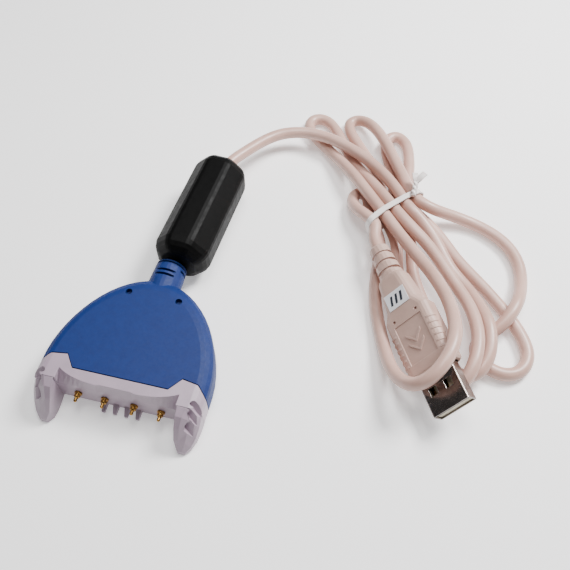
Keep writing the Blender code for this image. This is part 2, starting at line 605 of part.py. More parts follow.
def build_ferrite():
    black = material("ferrite_cover_vinyl", (0.012, 0.012, 0.012), 0.38)
    core_grey = material("sintered_ferrite", (0.05, 0.05, 0.055), 0.6)
    ends = ((0.0, 0.62), (0.5, 0.74), (1.4, 0.86), (2.7, 0.95), (4.4, 1.0))
    stations = list(ends) + [(FERRITE_LENGTH - d, s) for d, s in reversed(ends)]
    section = octagon(FERRITE_ACROSS, 13.0)
    cover = finish_mesh("ferrite_cover", loft([[(x * s, y, z * s) for x, z in section] for y, s in stations]),
                        black, smooth=30)
    middle = FERRITE_LENGTH / 2
    entry = Matrix.Rotation(math.radians(-FERRITE_YAW), 3, "Z") @ Vector(
        (-FERRITE_NEAR[0], 0, CABLE_AXIS_Z - FERRITE_ACROSS / 2))
    rings = []
    for y, left in ((-1.5, 1.0), (0.9, 1.0), (3.8, 0.78), (7.6, 0.42), (12.6, 0.12), (19.0, 0.0),
                    (FERRITE_LENGTH + 3, 0.0)):
        rings.append([(entry.x * left + r * math.cos(a), y, entry.z * left + r * math.sin(a))
                      for r, a in ((FERRITE_HOLE / 2, math.tau * i / 20) for i in range(20))])
    cut(cover, "ferrite_hole", loft(rings))
    half = FERRITE_CORE_LENGTH / 2
    cut(cover, "core_space", turned([(middle - half - FIT, FERRITE_CORE_D / 2 + FIT),
                                     (middle + half + FIT, FERRITE_CORE_D / 2 + FIT)], 24))
    inner = FERRITE_BORE / 2 + 0.2
    core = finish_mesh("ferrite_core", turned_shell([(middle - half, inner), (middle - half, FERRITE_CORE_D / 2),
                                                     (middle + half, FERRITE_CORE_D / 2), (middle + half, inner)], 24),
                       core_grey, smooth=40)
    for obj in [cover, core] + [m.object for m in cover.modifiers]:
        place_on_ferrite(obj)


# ---------------------------------------------------------------- plug

def plug_frame():
    """Empty at the mouth of the plug: X across it, Y back along it, Z out of its marked face."""
    empty = bpy.data.objects.new("plug_frame", None)
    bpy.context.scene.collection.objects.link(empty)
    empty.location = [v * MM for v in PLUG_MOUTH]
    turn = (Matrix.Rotation(math.radians(PLUG_YAW), 3, "Z") @ Matrix.Rotation(math.radians(PLUG_PITCH), 3, "X")
            @ Matrix.Rotation(math.radians(-PLUG_ROLL), 3, "Y"))
    empty.rotation_euler = turn.to_euler()
    return empty


def plug_ring(y, width, height, radius):
    return [(x, y, z) for x, z in rounded_rectangle(width, height, radius, 4)]


def grip_stations():
    """Station from the mouth, width, height and corner radius of the plug's grip and boot."""
    half_boot = PLUG_BOOT_D / 2
    half_end = PLUG_BOOT_END_D / 2
    return (
        (SHELL_SHOW, GRIP_WIDTH - 1.2, GRIP_HEIGHT - 1.0, 1.9),
        (SHELL_SHOW + 0.6, GRIP_WIDTH, GRIP_HEIGHT, 2.3),
        (GRIP_END, GRIP_WIDTH, GRIP_HEIGHT, 2.3),
        (GRIP_END + 3.5, NECK_WIDTH + 0.4, GRIP_HEIGHT - 0.1, 2.3),
        (NECK_END - 1.0, NECK_WIDTH - 1.6, GRIP_HEIGHT - 0.6, 2.4),
        (NECK_END, NECK_WIDTH - 2.6, GRIP_HEIGHT - 0.9, 2.6),
        (NECK_END + 0.4, PLUG_BOOT_D + 0.6, PLUG_BOOT_D - 1.0, half_boot - 0.6),
        (PLUG_LENGTH - 0.4, PLUG_BOOT_END_D, PLUG_BOOT_END_D, half_end - 0.05),
        (PLUG_LENGTH, PLUG_BOOT_END_D - 0.4, PLUG_BOOT_END_D - 0.4, half_end - 0.25),
    )


def build_plug():
    frame = plug_frame()
    beige = material("beige_plug_vinyl", (0.72, 0.58, 0.53), 0.5)
    nickel = material("nickel_plate", (0.62, 0.58, 0.56), 0.22, 1.0)
    ivory = material("ivory_plastic", (0.75, 0.70, 0.58), 0.45)
    gold = material("contact_gold", (0.8, 0.6, 0.3), 0.3, 1.0)
    paper = material("label_paper", (0.85, 0.84, 0.86), 0.5)
    natural = material("natural_polyethylene", (0.75, 0.74, 0.7), 0.5)
    pieces = []

    grip = finish_mesh("plug_overmould", loft([plug_ring(*s) for s in grip_stations()]), beige, smooth=35)
    shell_back = SHELL_SHOW + SHELL_HIDDEN
    half_w, half_h = SHELL_WIDTH / 2, SHELL_HEIGHT / 2
    cut(grip, "shell_seat", block(-half_w - FIT, half_w + FIT, SHELL_SHOW - 3, shell_back + FIT,
                                  -half_h - FIT, half_h + FIT))
    block_back = PREMOULD_END
    cut(grip, "premould_seat", block(-half_w + 0.4, half_w - 0.4, shell_back - 1, block_back + FIT,
                                     -half_h + 0.1, half_h - 0.1))
    cut(grip, "tail_bore", turned([(block_back - 1, CABLE_D / 2 + FIT), (PLUG_LENGTH - 2, CABLE_D / 2 + FIT),
                                  (PLUG_LENGTH + 1, CABLE_D / 2 + 2 * FIT)], 20))
    cut(grip, "recess", block(-4.8, 4.8, 15.5, 28.4, GRIP_HEIGHT / 2 - 0.3, GRIP_HEIGHT / 2 + 2))
    for side in (-1, 1):
        mark = prism([(0.5 * math.cos(a), 0.5 * math.sin(a)) for a in (math.tau * i / 12 for i in range(12))],
                     GRIP_HEIGHT / 2 - 0.7, GRIP_HEIGHT / 2 + 1)
        cut(grip, "plug_pin_mark_" + ("left" if side < 0 else "right"), shift(mark, side * 4.0, 30.0, 0))
    for index in range(3):
        y = NECK_END + 2.2 + 3.2 * index
        ring = turned_shell([(y - 0.5, PLUG_BOOT_END_D / 2 - 0.35), (y + 0.5, PLUG_BOOT_END_D / 2 - 0.35),
                             (y + 0.5, 8), (y - 0.5, 8)], 20)
        cut(grip, f"plug_flex_slot_{index + 1}", ring)
    pieces.append(grip)

    shell = finish_mesh("plug_shell", loft([plug_ring(0, SHELL_WIDTH, SHELL_HEIGHT, 0.5),
                                            plug_ring(shell_back, SHELL_WIDTH, SHELL_HEIGHT, 0.5)]), nickel)
    inner_w, inner_h = SHELL_WIDTH - 2 * SHELL_WALL, SHELL_HEIGHT - 2 * SHELL_WALL
    cut(shell, "shell_inside", loft([plug_ring(-2, inner_w, inner_h, 0.2),
                                     plug_ring(shell_back + 2, inner_w, inner_h, 0.2)]))
    for side in (-1, 1):
        window = block(-1.25, 1.25, 5.2, 7.7, -SHELL_HEIGHT, SHELL_HEIGHT)
        cut(shell, "latch_window_" + ("left" if side < 0 else "right"), shift(window, side * 2.6, 0, 0))
    pieces.append(shell)

    tongue_low = -inner_h / 2 + FINE_FIT
    tongue_high = tongue_low + TONGUE_THICK
    half = inner_w / 2 - FINE_FIT
    tongue = block(-half, half, 0.5, shell_back - 1.0, tongue_low, tongue_high)
    pieces.append(finish_mesh("plug_tongue", tongue, ivory))
    for index, x in enumerate((-3.5, -1.0, 1.0, 3.5)):
        start = 1.6 if index in (0, 3) else 2.6
        strip = block(x - 0.5, x + 0.5, start, shell_back - 1.0, tongue_high + FINE_FIT / 2, tongue_high + 0.3)
        pieces.append(finish_mesh(f"plug_contact_{index + 1}", strip, gold))
    premould = block(-SHELL_WIDTH / 2 + 0.7, SHELL_WIDTH / 2 - 0.7, shell_back + FIT, block_back,
                     -SHELL_HEIGHT / 2 + 0.4, SHELL_HEIGHT / 2 - 0.4)
    pieces.append(finish_mesh("plug_premould", premould, natural))
    label = block(-3.7, 3.7, 33.6, 39.0, GRIP_HEIGHT / 2 + 0.05, GRIP_HEIGHT / 2 + 0.2)
    pieces.append(finish_mesh("plug_label", label, paper))
    for obj in pieces + [m.object for p in pieces for m in p.modifiers]:
        obj.parent = frame
    return frame


# ---------------------------------------------------------------- lead and tie

def lead_in(board_end):
    """Cable from the crimp through the boot and down the ferrite's bore."""
    near = Vector((*FERRITE_NEAR, FERRITE_ACROSS / 2))
    yaw = math.radians(FERRITE_YAW)
    along = Vector((-math.sin(yaw), math.cos(yaw), 0))
    start = board_end + CABLE_STANDOFF
    boot_exit = Vector((0, BOOT_END_Y + FIT, CABLE_AXIS_Z))
    points = [(0, y, CABLE_AXIS_Z) for y in (start, (start + BOOT_END_Y) / 2, BOOT_END_Y - 3)]
    points.append(tuple(boot_exit))
    for share, left in ((0.02, 1.0), (0.09, 0.80), (0.18, 0.42), (0.3, 0.10), (0.45, 0.0), (0.7, 0.0),
                        (0.9, 0.0)):
        points.append(tuple(near + along * FERRITE_LENGTH * share + (boot_exit - near) * left))
    return points


def lead_out(frame):
    """Cable along the plug's axis, from just outside its boot to the inner mould."""
    bpy.context.view_layer.update()
    stations = (PLUG_LENGTH + 2.5, PLUG_LENGTH, PLUG_LENGTH - 3, PLUG_LENGTH - 8, PREMOULD_END + 8,
                PREMOULD_END + FIT)
    return [tuple(frame.matrix_world @ Vector((0, y * MM, 0)) / MM) for y in stations]


def build_cable(board_end, frame):
    vinyl = material("beige_cable_vinyl", (0.70, 0.58, 0.53), 0.45)
    route = lead_in(board_end) + ROUTE + lead_out(frame)
    tube("usb_cable", thinned(smooth_curve(route), 0.55, 17.0, (70.0, 38.0)), CABLE_D, vinyl)


def build_tie():
    white = material("tie_plastic", (0.85, 0.82, 0.80), 0.4)
    across = Vector((*TIE_ACROSS, 0)).normalized()
    along = Vector((across.y, -across.x, 0))
    centre = Vector((*TIE_CENTRE, 0))
    width, height = TIE_RIGHT - TIE_LEFT, TIE_TOP - TIE_BOTTOM
    middle = centre + across * (TIE_LEFT + TIE_RIGHT) / 2 + Vector((0, 0, (TIE_TOP + TIE_BOTTOM) / 2))
    outer = rounded_rectangle(width, height, 2.8)
    inner = rounded_rectangle(width - 2 * TIE_THICK, height - 2 * TIE_THICK, 2.8 - TIE_THICK)
    bm = bmesh.new()
    rings = []
    for profile, offset in ((outer, -1), (outer, 1), (inner, 1), (inner, -1)):
        rings.append([bm.verts.new(middle + across * n + Vector((0, 0, z)) + along * (offset * TIE_WIDTH / 2))
                      for n, z in profile])
    count = len(outer)
    for k in range(4):
        here, there = rings[k], rings[(k + 1) % 4]
        for i in range(count):
            j = (i + 1) % count
            bm.faces.new((here[i], here[j], there[j], there[i]))
    tie = finish_mesh("twist_tie", bm, white, smooth=40)
    start = middle + across * (width / 2 - 4.5) + Vector((0, 0, height / 2 + 0.5)) - along * 0.4
    end = start + across * 4.5 - along * 4.0 + Vector((0, 0, 0.9))
    axis = (end - start).normalized()
    side = axis.cross(Vector((0, 0, 1))).normalized()
    up = side.cross(axis)
    twist = []
    for p, r in ((start, 1.1), (start.lerp(end, 0.5), 1.2), (end, 0.8)):
        twist.append([p + side * r * math.cos(a) + up * r * math.sin(a) for a in
                      (math.tau * i / 8 for i in range(8))])
    join(tie, "twisted_ends", loft(twist))


def main():
    clear_scene()
    build_jacket()
    build_nose()
    build_pins()
    build_pin_block()
    top, end = build_board()
    build_wires(top, end)
    build_ferrite()
    frame = build_plug()
    build_cable(end, frame)
    build_tie()


main()
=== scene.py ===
"""Looks of a clip-on microcontroller programmer with its ferrite bead, tied lead and plug.

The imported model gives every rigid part. This script dresses those parts and makes the lead, the tie,
the printed label and the moulded grips of the plug.
"""

import logging
import math
from dataclasses import dataclass, field
from enum import Enum
from typing import Any, Iterable, Sequence

import bmesh
import bpy
from mathutils import Matrix, Vector


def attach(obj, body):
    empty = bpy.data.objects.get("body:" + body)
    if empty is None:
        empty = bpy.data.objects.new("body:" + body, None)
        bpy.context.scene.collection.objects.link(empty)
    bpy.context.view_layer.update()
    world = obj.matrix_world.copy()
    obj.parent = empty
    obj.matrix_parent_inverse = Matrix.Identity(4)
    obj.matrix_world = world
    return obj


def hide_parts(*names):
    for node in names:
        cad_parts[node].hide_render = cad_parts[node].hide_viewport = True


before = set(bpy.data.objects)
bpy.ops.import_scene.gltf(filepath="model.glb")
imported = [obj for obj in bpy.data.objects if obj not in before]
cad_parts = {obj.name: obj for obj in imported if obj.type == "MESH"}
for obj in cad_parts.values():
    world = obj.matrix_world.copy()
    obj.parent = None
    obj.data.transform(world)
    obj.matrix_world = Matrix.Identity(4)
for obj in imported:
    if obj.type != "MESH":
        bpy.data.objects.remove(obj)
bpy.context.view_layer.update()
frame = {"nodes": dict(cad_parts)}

LOG = logging.getLogger("programmer")
MM = 0.001
BODY = "programmer"

# Route of the free lead in millimetres, bead to plug: listed points, which pull the smooth curve.
# LOW is a strand lying on the table. T and U are the two layers of strands where the tie holds the hank.
LOW, T, U = 2.1, 3.5, 7.8
ROUTE = [
    # out of the ferrite and over to the hank
    (4.63, 70.05, 8.8), (5.9, 74.2, 8.8), (8.6, 79.0, 8.3), (13.0, 87.0, 7.2), (18.0, 93.0, 6.6),
    (24.4, 95.9, 6.4), (30.8, 96.3, 6.5), (37.2, 94.9, 6.8), (43.6, 92.1, 7.0), (50.2, 88.3, 7.2),
    (57.2, 82.9, 7.4), (63.5, 75.9, 7.6), (68.0, 68.9, U),
    # down the right side, under the plug and back
    (71.2, 66.5, 7.5), (74.2, 64.5, 6.0), (77.6, 61.4, 4.9), (80.7, 56.9, 4.3), (84.3, 50.9, 3.2),
    (88.4, 46.7, 2.7), (92.0, 42.9, 2.9), (95.1, 36.9, 5.0), (97.7, 30.3, 7.4), (98.8, 24.5, 7.2),
    (98.8, 19.4, 6.6), (97.2, 14.7, 5.6), (93.9, 12.3, 4.0), (90.6, 13.3, 2.6), (88.2, 17.5, LOW),
    (82.2, 29.5, LOW), (77.0, 38.0, LOW), (73.2, 46.9, LOW), (72.7, 54.5, LOW), (70.0, 61.5, 3.0),
    (66.3, 67.0, T),
    # third loop beyond the tie
    (64.0, 70.3, 3.0), (63.2, 74.5, LOW), (62.8, 81.0, LOW), (61.3, 87.3, LOW), (58.7, 93.5, LOW),
    (56.6, 99.5, LOW), (56.6, 104.7, LOW), (60.2, 107.1, LOW), (64.2, 103.7, LOW), (65.9, 97.0, LOW),
    (66.8, 89.5, LOW), (67.2, 81.0, LOW), (67.8, 75.1, 3.0), (70.2, 71.1, T),
    # long low strand, the open loop at its end, and the high strand back
    (76.6, 66.7, 3.0), (82.2, 61.2, LOW), (86.4, 55.3, LOW), (92.0, 49.9, LOW), (97.4, 44.8, LOW),
    (104.8, 36.7, LOW), (108.9, 30.7, LOW), (111.2, 24.9, LOW), (109.7, 19.1, LOW), (105.2, 16.5, LOW),
    (101.0, 17.1, LOW), (97.2, 19.1, LOW), (95.0, 22.9, LOW), (96.4, 26.7, 2.2), (100.0, 29.5, 3.6),
    (103.1, 32.9, 5.6), (104.9, 36.9, 6.5), (106.2, 41.1, 5.9), (107.1, 45.5, 4.2), (107.7, 51.3, 2.3),
    (106.9, 57.1, LOW), (104.7, 62.0, LOW), (101.1, 66.2, LOW), (95.5, 69.6, LOW), (89.9, 71.4, 2.3),
    (84.4, 71.5, 3.8), (79.3, 70.7, 5.7), (75.2, 70.3, 7.4), (70.9, 72.2, U),
    # second loop beyond the tie
    (67.4, 76.9, 7.4), (65.3, 81.9, 6.7), (62.9, 86.5, 6.5), (60.2, 91.5, 6.4), (56.6, 98.1, 6.4),
    (52.4, 104.8, 5.6), (48.2, 109.9, 3.8), (44.4, 111.7, 2.4), (41.2, 109.5, LOW), (42.4, 104.9, LOW),
    (46.6, 99.1, LOW), (51.3, 92.8, LOW), (55.3, 87.5, LOW), (58.0, 81.7, LOW), (58.9, 75.3, LOW),
    (59.9, 68.7, 3.0), (63.0, 63.25, T),
    # under the plug, round below its shell, and back on top
    (66.4, 58.1, 3.0), (68.0, 52.5, LOW), (68.6, 45.5, LOW), (73.1, 35.9, LOW), (78.2, 27.3, LOW),
    (82.8, 18.5, LOW), (85.0, 14.3, LOW), (86.4, 9.9, 2.4), (88.8, 7.1, 3.9), (92.0, 8.5, 6.4),
    (93.9, 12.5, 8.7), (94.7, 17.4, 9.2), (94.9, 23.1, 9.0), (93.7, 29.3, 8.1), (91.5, 35.0, 7.2),
    (87.8, 40.7, 6.4), (81.0, 49.9, 6.8), (76.2, 55.7, 6.9), (71.0, 59.9, 7.6), (65.1, 65.65, U),
    # first loop beyond the tie
    (61.0, 70.7, 7.3), (57.2, 75.7, 6.2), (53.2, 80.7, 4.8), (49.2, 86.1, 2.6), (45.0, 92.3, LOW),
    (41.2, 98.1, LOW), (38.0, 103.7, LOW), (34.6, 108.1, LOW), (30.4, 109.5, LOW), (27.2, 107.5, LOW),
    (27.0, 103.5, LOW), (30.0, 99.5, LOW), (35.4, 94.7, 2.2), (41.4, 88.5, 3.6), (45.2, 83.7, 5.2),
    (49.3, 78.6, 6.5), (55.3, 70.7, 7.4), (62.3, 62.4, U),
    # up over the plug and shell, down its left side and back under the boot
    (66.8, 56.7, 8.0), (71.8, 50.1, 9.3), (76.4, 43.9, 11.0), (81.0, 37.1, 12.8), (84.8, 29.5, 14.4),
    (86.6, 22.3, 16.2), (87.0, 16.1, 18.1), (85.6, 9.4, 18.4), (82.9, 4.2, 16.8), (79.0, 1.6, 13.2),
    (74.8, 4.1, 8.6), (71.2, 10.3, 4.8), (68.6, 17.8, 2.9), (66.2, 24.7, LOW), (64.0, 31.7, LOW),
    (62.8, 38.5, LOW), (62.4, 45.5, LOW), (62.7, 52.5, 3.0), (59.8, 59.6, T),
    # small turn at the hank's left edge, then into the plug's boot
    (56.9, 63.9, 3.0), (55.4, 68.5, LOW), (55.2, 72.6, LOW), (53.6, 75.6, LOW), (50.9, 76.0, LOW),
    (49.3, 73.4, 2.2), (49.9, 69.6, 3.2), (52.0, 65.9, 5.0), (55.0, 62.6, 7.0), (59.5, 59.1, U),
    (59.2, 54.6, 7.6),
]


def linear(hex_colour: str) -> tuple[float, float, float, float]:
    """Turns an sRGB hex colour into linear RGBA.

    Args:
        hex_colour: Six hex digits with a leading hash.

    Returns:
        Linear red, green, blue and an alpha of one.
    """
    values = [int(hex_colour[i:i + 2], 16) / 255 for i in (1, 3, 5)]
    red, green, blue = (v / 12.92 if v <= 0.04045 else ((v + 0.055) / 1.055) ** 2.4 for v in values)
    return red, green, blue, 1.0


def add_node(tree: bpy.types.NodeTree, kind: str, inputs: dict[str | int, Any] | None = None,
             **settings: Any) -> bpy.types.Node:
    """Adds a node, sets it up and links it.

    Args:
        tree: Node tree that takes the node.
        kind: Blender's identifier of the node type.
        inputs: Value, or output socket to link, for each input by name or index.
        settings: Properties of the node itself.

    Returns:
        The new node.
    """
    node = tree.nodes.new(kind)
    for key, value in settings.items():
        setattr(node, key, value)
    for key, value in (inputs or {}).items():
        if isinstance(value, bpy.types.NodeSocket):
            tree.links.new(value, node.inputs[key])
        else:
            node.inputs[key].default_value = value
    return node


# What every finish shares. Lengths are millimetres, and the stretches shape the relief along each axis.
EDGE_ROUND = 0.22
BEVEL_SAMPLES = 4
COAT_ROUGHNESS = 0.25
SPOTS_PER_PATCH = 2.6
GLOSS_SWING = (0.07, 0.09)
PRESS_STRETCH = (1.0, 0.12, 1.0)
DRAW_STRETCH = (1.0, 1.0, 0.35)


class Surface(Enum):
    """How a surface was made, which sets the pattern of its fine relief."""

    MOULDED = "moulded"        # fine spark-eroded mould texture
    GLOSSY = "glossy"          # polished mould, only slow waves
    DRAWN = "drawn"            # extruded or drawn, streaks along its length
    PLATED = "plated"          # smooth metal plate with rubbed patches
    STAMPED = "stamped"        # sheet metal, brushed one way by the press
    SINTERED = "sintered"      # pressed powder, open grain


@dataclass(frozen=True)
class Finish:
    """One real material and the look of its surface.

    Lengths are millimetres: grain is the size of the fine relief, patch that of the slow colour change,
    and rub is how far in from an edge it is worn.
    """

    name: str
    colour: str
    shade: str
    worn: str
    roughness: float
    metallic: float = 0.0
    ior: float = 1.5
    grain: float = 0.25
    relief: float = 0.02
    patch: float = 6.0
    rub: float = 0.5
    wear: float = 0.35
    coat: float = 0.0
    specular: float = 0.5
    surface: Surface = Surface.MOULDED

    def make(self) -> bpy.types.Material:
        """Builds the node material.

        Returns:
            A material with colour change, edge wear, uneven roughness and relief.
        """
        mat = bpy.data.materials.new(self.name)
        mat.use_nodes = True
        tree = mat.node_tree
        shader = tree.nodes["Principled BSDF"]
        shader.inputs["Metallic"].default_value = self.metallic
        if not self.metallic:
            shader.inputs["IOR"].default_value = self.ior
            shader.inputs["Specular IOR Level"].default_value = self.specular
        shader.inputs["Coat Weight"].default_value = self.coat
        shader.inputs["Coat Roughness"].default_value = COAT_ROUGHNESS
        place = add_node(tree, "ShaderNodeTexCoord").outputs["Object"]
        patches = add_node(tree, "ShaderNodeTexNoise",
                           {"Vector": place, "Scale": 1 / (self.patch * MM), "Detail": 4.0, "Roughness": 0.6})
        shades = add_node(tree, "ShaderNodeMapRange",
                          {"Value": patches.outputs["Fac"], "From Min": 0.35, "From Max": 0.68})
        colour = add_node(tree, "ShaderNodeMix", {"Factor": shades.outputs["Result"], 6: linear(self.colour),
                                                  7: linear(self.shade)}, data_type="RGBA")
        edge = self.edge_mask(tree, patches.outputs["Fac"])
        worn = add_node(tree, "ShaderNodeMix", {"Factor": edge, 6: colour.outputs[2], 7: linear(self.worn)},
                        data_type="RGBA")
        tree.links.new(worn.outputs[2], shader.inputs["Base Color"])
        spots = add_node(tree, "ShaderNodeTexNoise",
                         {"Vector": place, "Scale": SPOTS_PER_PATCH / (self.patch * MM), "Detail": 6.0,
                          "Roughness": 0.65})
        gloss = add_node(tree, "ShaderNodeMapRange",
                         {"Value": spots.outputs["Fac"], "From Min": 0.3, "From Max": 0.7,
                          "To Min": self.roughness - GLOSS_SWING[0],
                          "To Max": self.roughness + GLOSS_SWING[1]})
        tree.links.new(gloss.outputs["Result"], shader.inputs["Roughness"])
        soft = add_node(tree, "ShaderNodeBevel", {"Radius": EDGE_ROUND * MM}, samples=BEVEL_SAMPLES)
        relief = add_node(tree, "ShaderNodeBump",
                          {"Height": self.height(tree, place), "Distance": self.relief * MM, "Strength": 1.0,
                           "Normal": soft.outputs["Normal"]})
        tree.links.new(relief.outputs["Normal"], shader.inputs["Normal"])
        return mat

    def edge_mask(self, tree: bpy.types.NodeTree, breakup: bpy.types.NodeSocket) -> bpy.types.NodeSocket:
        """Finds edges rubbed by handling, where the bevelled and true normals part.

        Args:
            tree: Material's node tree.
            breakup: Noise that makes the rubbing uneven.

        Returns:
            Socket with 0 on open faces and up to the wear amount on edges.
        """
        bevel = add_node(tree, "ShaderNodeBevel", {"Radius": self.rub * MM}, samples=BEVEL_SAMPLES)
        true = add_node(tree, "ShaderNodeNewGeometry")
        match = add_node(tree, "ShaderNodeVectorMath",
                         {0: bevel.outputs["Normal"], 1: true.outputs["Normal"]}, operation="DOT_PRODUCT")
        edge = add_node(tree, "ShaderNodeMapRange", {"Value": match.outputs["Value"], "From Min": 0.99,
                                                     "From Max": 0.80, "To Min": 0.0, "To Max": self.wear})
        uneven = add_node(tree, "ShaderNodeMapRange", {"Value": breakup, "From Min": 0.38, "From Max": 0.6})
        return add_node(tree, "ShaderNodeMath", {0: edge.outputs["Result"], 1: uneven.outputs["Result"]},
                        operation="MULTIPLY").outputs["Value"]

    def height(self, tree: bpy.types.NodeTree, place: bpy.types.NodeSocket) -> bpy.types.NodeSocket:
        """Makes the fine relief that suits how the surface was made.

        Args:
            tree: Material's node tree.
            place: Position in metres.

        Returns:
            Height socket between 0 and about 1.
        """
        scale = 1 / (self.grain * MM)
        if self.surface in (Surface.DRAWN, Surface.STAMPED):
            stretch = PRESS_STRETCH if self.surface is Surface.STAMPED else DRAW_STRETCH
            place = add_node(tree, "ShaderNodeMapping", {"Vector": place, "Scale": stretch}).outputs["Vector"]
        if self.surface is Surface.SINTERED:
            grains = add_node(tree, "ShaderNodeTexVoronoi", {"Vector": place, "Scale": scale})
            return grains.outputs["Distance"]
        detail = 2.0 if self.surface in (Surface.GLOSSY, Surface.PLATED) else 5.0
        return add_node(tree, "ShaderNodeTexNoise",
                        {"Vector": place, "Scale": scale, "Detail": detail, "Roughness": 0.55}).outputs["Fac"]


# Soft PVC, injection moulded over the shell: a matte blue with the mould's fine texture, paler where handled.
BLUE_PVC = Finish("soft_pvc_blue", "#072766", "#06235F", "#174084", 0.58, ior=1.53, grain=0.22, relief=0.035,
                  patch=2.0, rub=0.5, wear=0.4, specular=0.3)
# Polycarbonate, moulded in a fine-blasted tool: a pinkish grey with a soft highlight.
GREY_PC = Finish("polycarbonate_grey", "#A794A3", "#9C8B99", "#BBADB8", 0.38, ior=1.585, grain=0.3,
                 relief=0.016, patch=7.0, rub=0.4, wear=0.4, coat=0.05)
# Soft PVC jacket, extruded: beige with a pink cast, satin, with faint draw marks.
BEIGE_CABLE = Finish("extruded_pvc_beige", "#CBA699", "#BF998B", "#D3B9AF", 0.37, ior=1.53, grain=0.5,
                     relief=0.02, patch=11.0, wear=0.1, coat=0.1, surface=Surface.DRAWN)
# The same PVC moulded over the plug: a little duller, matte from the tool, paler where handled.
BEIGE_PLUG = Finish("moulded_pvc_beige", "#C6A69A", "#BA9A8D", "#D6BFB6", 0.42, ior=1.53, grain=0.24,
                    relief=0.028, patch=7.0, rub=0.5, wear=0.4, coat=0.05)
# PVC bead cover from a polished tool: nearly black, with slow waves and a faint wide highlight.
BLACK_PVC = Finish("moulded_pvc_black", "#030303", "#020202", "#0B0A0A", 0.5, ior=1.5, grain=1.6, relief=0.05,
                   patch=5.0, rub=0.7, wear=0.35, specular=0.12, surface=Surface.GLOSSY)
# Manganese zinc ferrite, pressed and fired: dark grey open grain.
FERRITE = Finish("fired_ferrite", "#3A3A3C", "#2C2C2E", "#55555A", 0.6, ior=2.0, grain=0.3, relief=0.04,
                 surface=Surface.SINTERED)
# Gold flash over nickel on turned brass: warm, a little dulled, rubbed paler on its edges.
GOLD = Finish("gold_flash", "#B98F4C", "#8C6A34", "#D2B785", 0.24, metallic=1.0, grain=0.4, relief=0.006,
              patch=1.6, rub=0.15, wear=0.5, surface=Surface.PLATED)
# Bright nickel on stamped steel: glossy, tarnished to a warm grey, with faint press marks.
NICKEL = Finish("bright_nickel", "#8C8480", "#756D69", "#B2ABA6", 0.19, metallic=1.0, grain=0.35,
                relief=0.006, patch=4.0, rub=0.2, wear=0.5, surface=Surface.STAMPED)
# Tinned brass crimp, plain satin metal.
CRIMP = Finish("tinned_brass", "#B39A6A", "#94805A", "#CDBB90", 0.35, metallic=1.0, patch=2.0,
               surface=Surface.PLATED)
# Music wire: drawn steel with a soft grey shine.
WIRE_STEEL = Finish("music_wire", "#9D9DA0", "#7C7C80", "#C0C0C2", 0.3, metallic=1.0, patch=1.0,
                    surface=Surface.DRAWN)
# PBT contact carrier: ivory, glass filled, dull.
IVORY = Finish("pbt_ivory", "#E2D8BF", "#D5CAB0", "#EEE7D6", 0.45, ior=1.54, grain=0.2, relief=0.015,
               patch=3.0)
# Low-density polyethylene inner mould: milky and waxy.
POLYTHENE = Finish("ldpe_natural", "#DAD8CE", "#CBC8BC", "#E8E6DE", 0.5, ior=1.51, patch=3.0)
# Glass-filled nylon pin carrier: black and dull.
NYLON = Finish("nylon_black", "#161617", "#101011", "#2A2A2C", 0.5, ior=1.53, grain=0.2, relief=0.02,
               patch=3.0)
# Epoxy laminate under solder mask: glossy mottled green.
SOLDER_MASK = Finish("solder_mask", "#1C6A3A", "#155230", "#4C8B5E", 0.3, ior=1.55, grain=0.6, relief=0.02,
                     patch=2.2, coat=0.3, surface=Surface.GLOSSY)
# Filled epoxy chip package: charcoal, matte from the mould.
EPOXY = Finish("chip_epoxy", "#1B1B1D", "#151517", "#303034", 0.5, ior=1.55, grain=0.12, relief=0.02,
               patch=2.0)
# Nickel silver crystal can.
CAN = Finish("nickel_silver", "#B9B9B6", "#9F9F9C", "#D5D5D2", 0.24, metallic=1.0, patch=2.0,
             surface=Surface.PLATED)
# Moulded tantalum capacitor: mustard epoxy.
TANTALUM = Finish("tantalum_epoxy", "#C98F22", "#B27C1B", "#DDB060", 0.42, ior=1.55, patch=1.5)
# Thick-film resistor glaze: near black glass.
GLAZE = Finish("resistor_glaze", "#202024", "#18181B", "#3A3A40", 0.25, ior=1.52, patch=1.0,
               surface=Surface.GLOSSY)
# Polypropylene tie: milky white ribbon, finely streaked by its rollers, with a soft shine.
TIE_PP = Finish("polypropylene_ribbon", "#EDE6E3", "#E0D6D2", "#F7F3F1", 0.30, ior=1.49, grain=0.5,
                relief=0.05, patch=2.5, rub=0.3, wear=0.4, coat=0.15, surface=Surface.DRAWN)
# Polyester label: white, coated, a little glossier than the vinyl under it.
LABEL = Finish("polyester_label", "#EFEEF0", "#E6E4E8", "#FAFAFA", 0.34, ior=1.6, grain=0.4, relief=0.004,
               patch=4.0)
# Thermal-transfer resin print on the label: blue-black, slightly raised.
PRINT = Finish("resin_print", "#2A2D38", "#22252E", "#3B3E49", 0.38, ior=1.5, grain=0.3, relief=0.004,
               patch=2.0)


def core_insulation(name: str, colour: str, shade: str) -> Finish:
    """Makes the PVC insulation of one signal core: glossy, extruded, plain in colour.

    Args:
        name: Material name.
        colour: Main colour.
        shade: Its darker patches.

    Returns:
        The core's finish.
    """
    return Finish(name, colour, shade, colour, 0.32, ior=1.53, grain=0.4, relief=0.01, patch=2.0,
                  surface=Surface.DRAWN)


CORES = {
    "wire_red": core_insulation("core_pvc_red", "#A81E1E", "#931818"),
    "wire_white": core_insulation("core_pvc_white", "#E4E2DC", "#D8D5CE"),
    "wire_green": core_insulation("core_pvc_green", "#1F7A37", "#1A692F"),
    "wire_black": core_insulation("core_pvc_black", "#1A1A1B", "#141415"),
}
_made: dict[str, bpy.types.Material] = {}


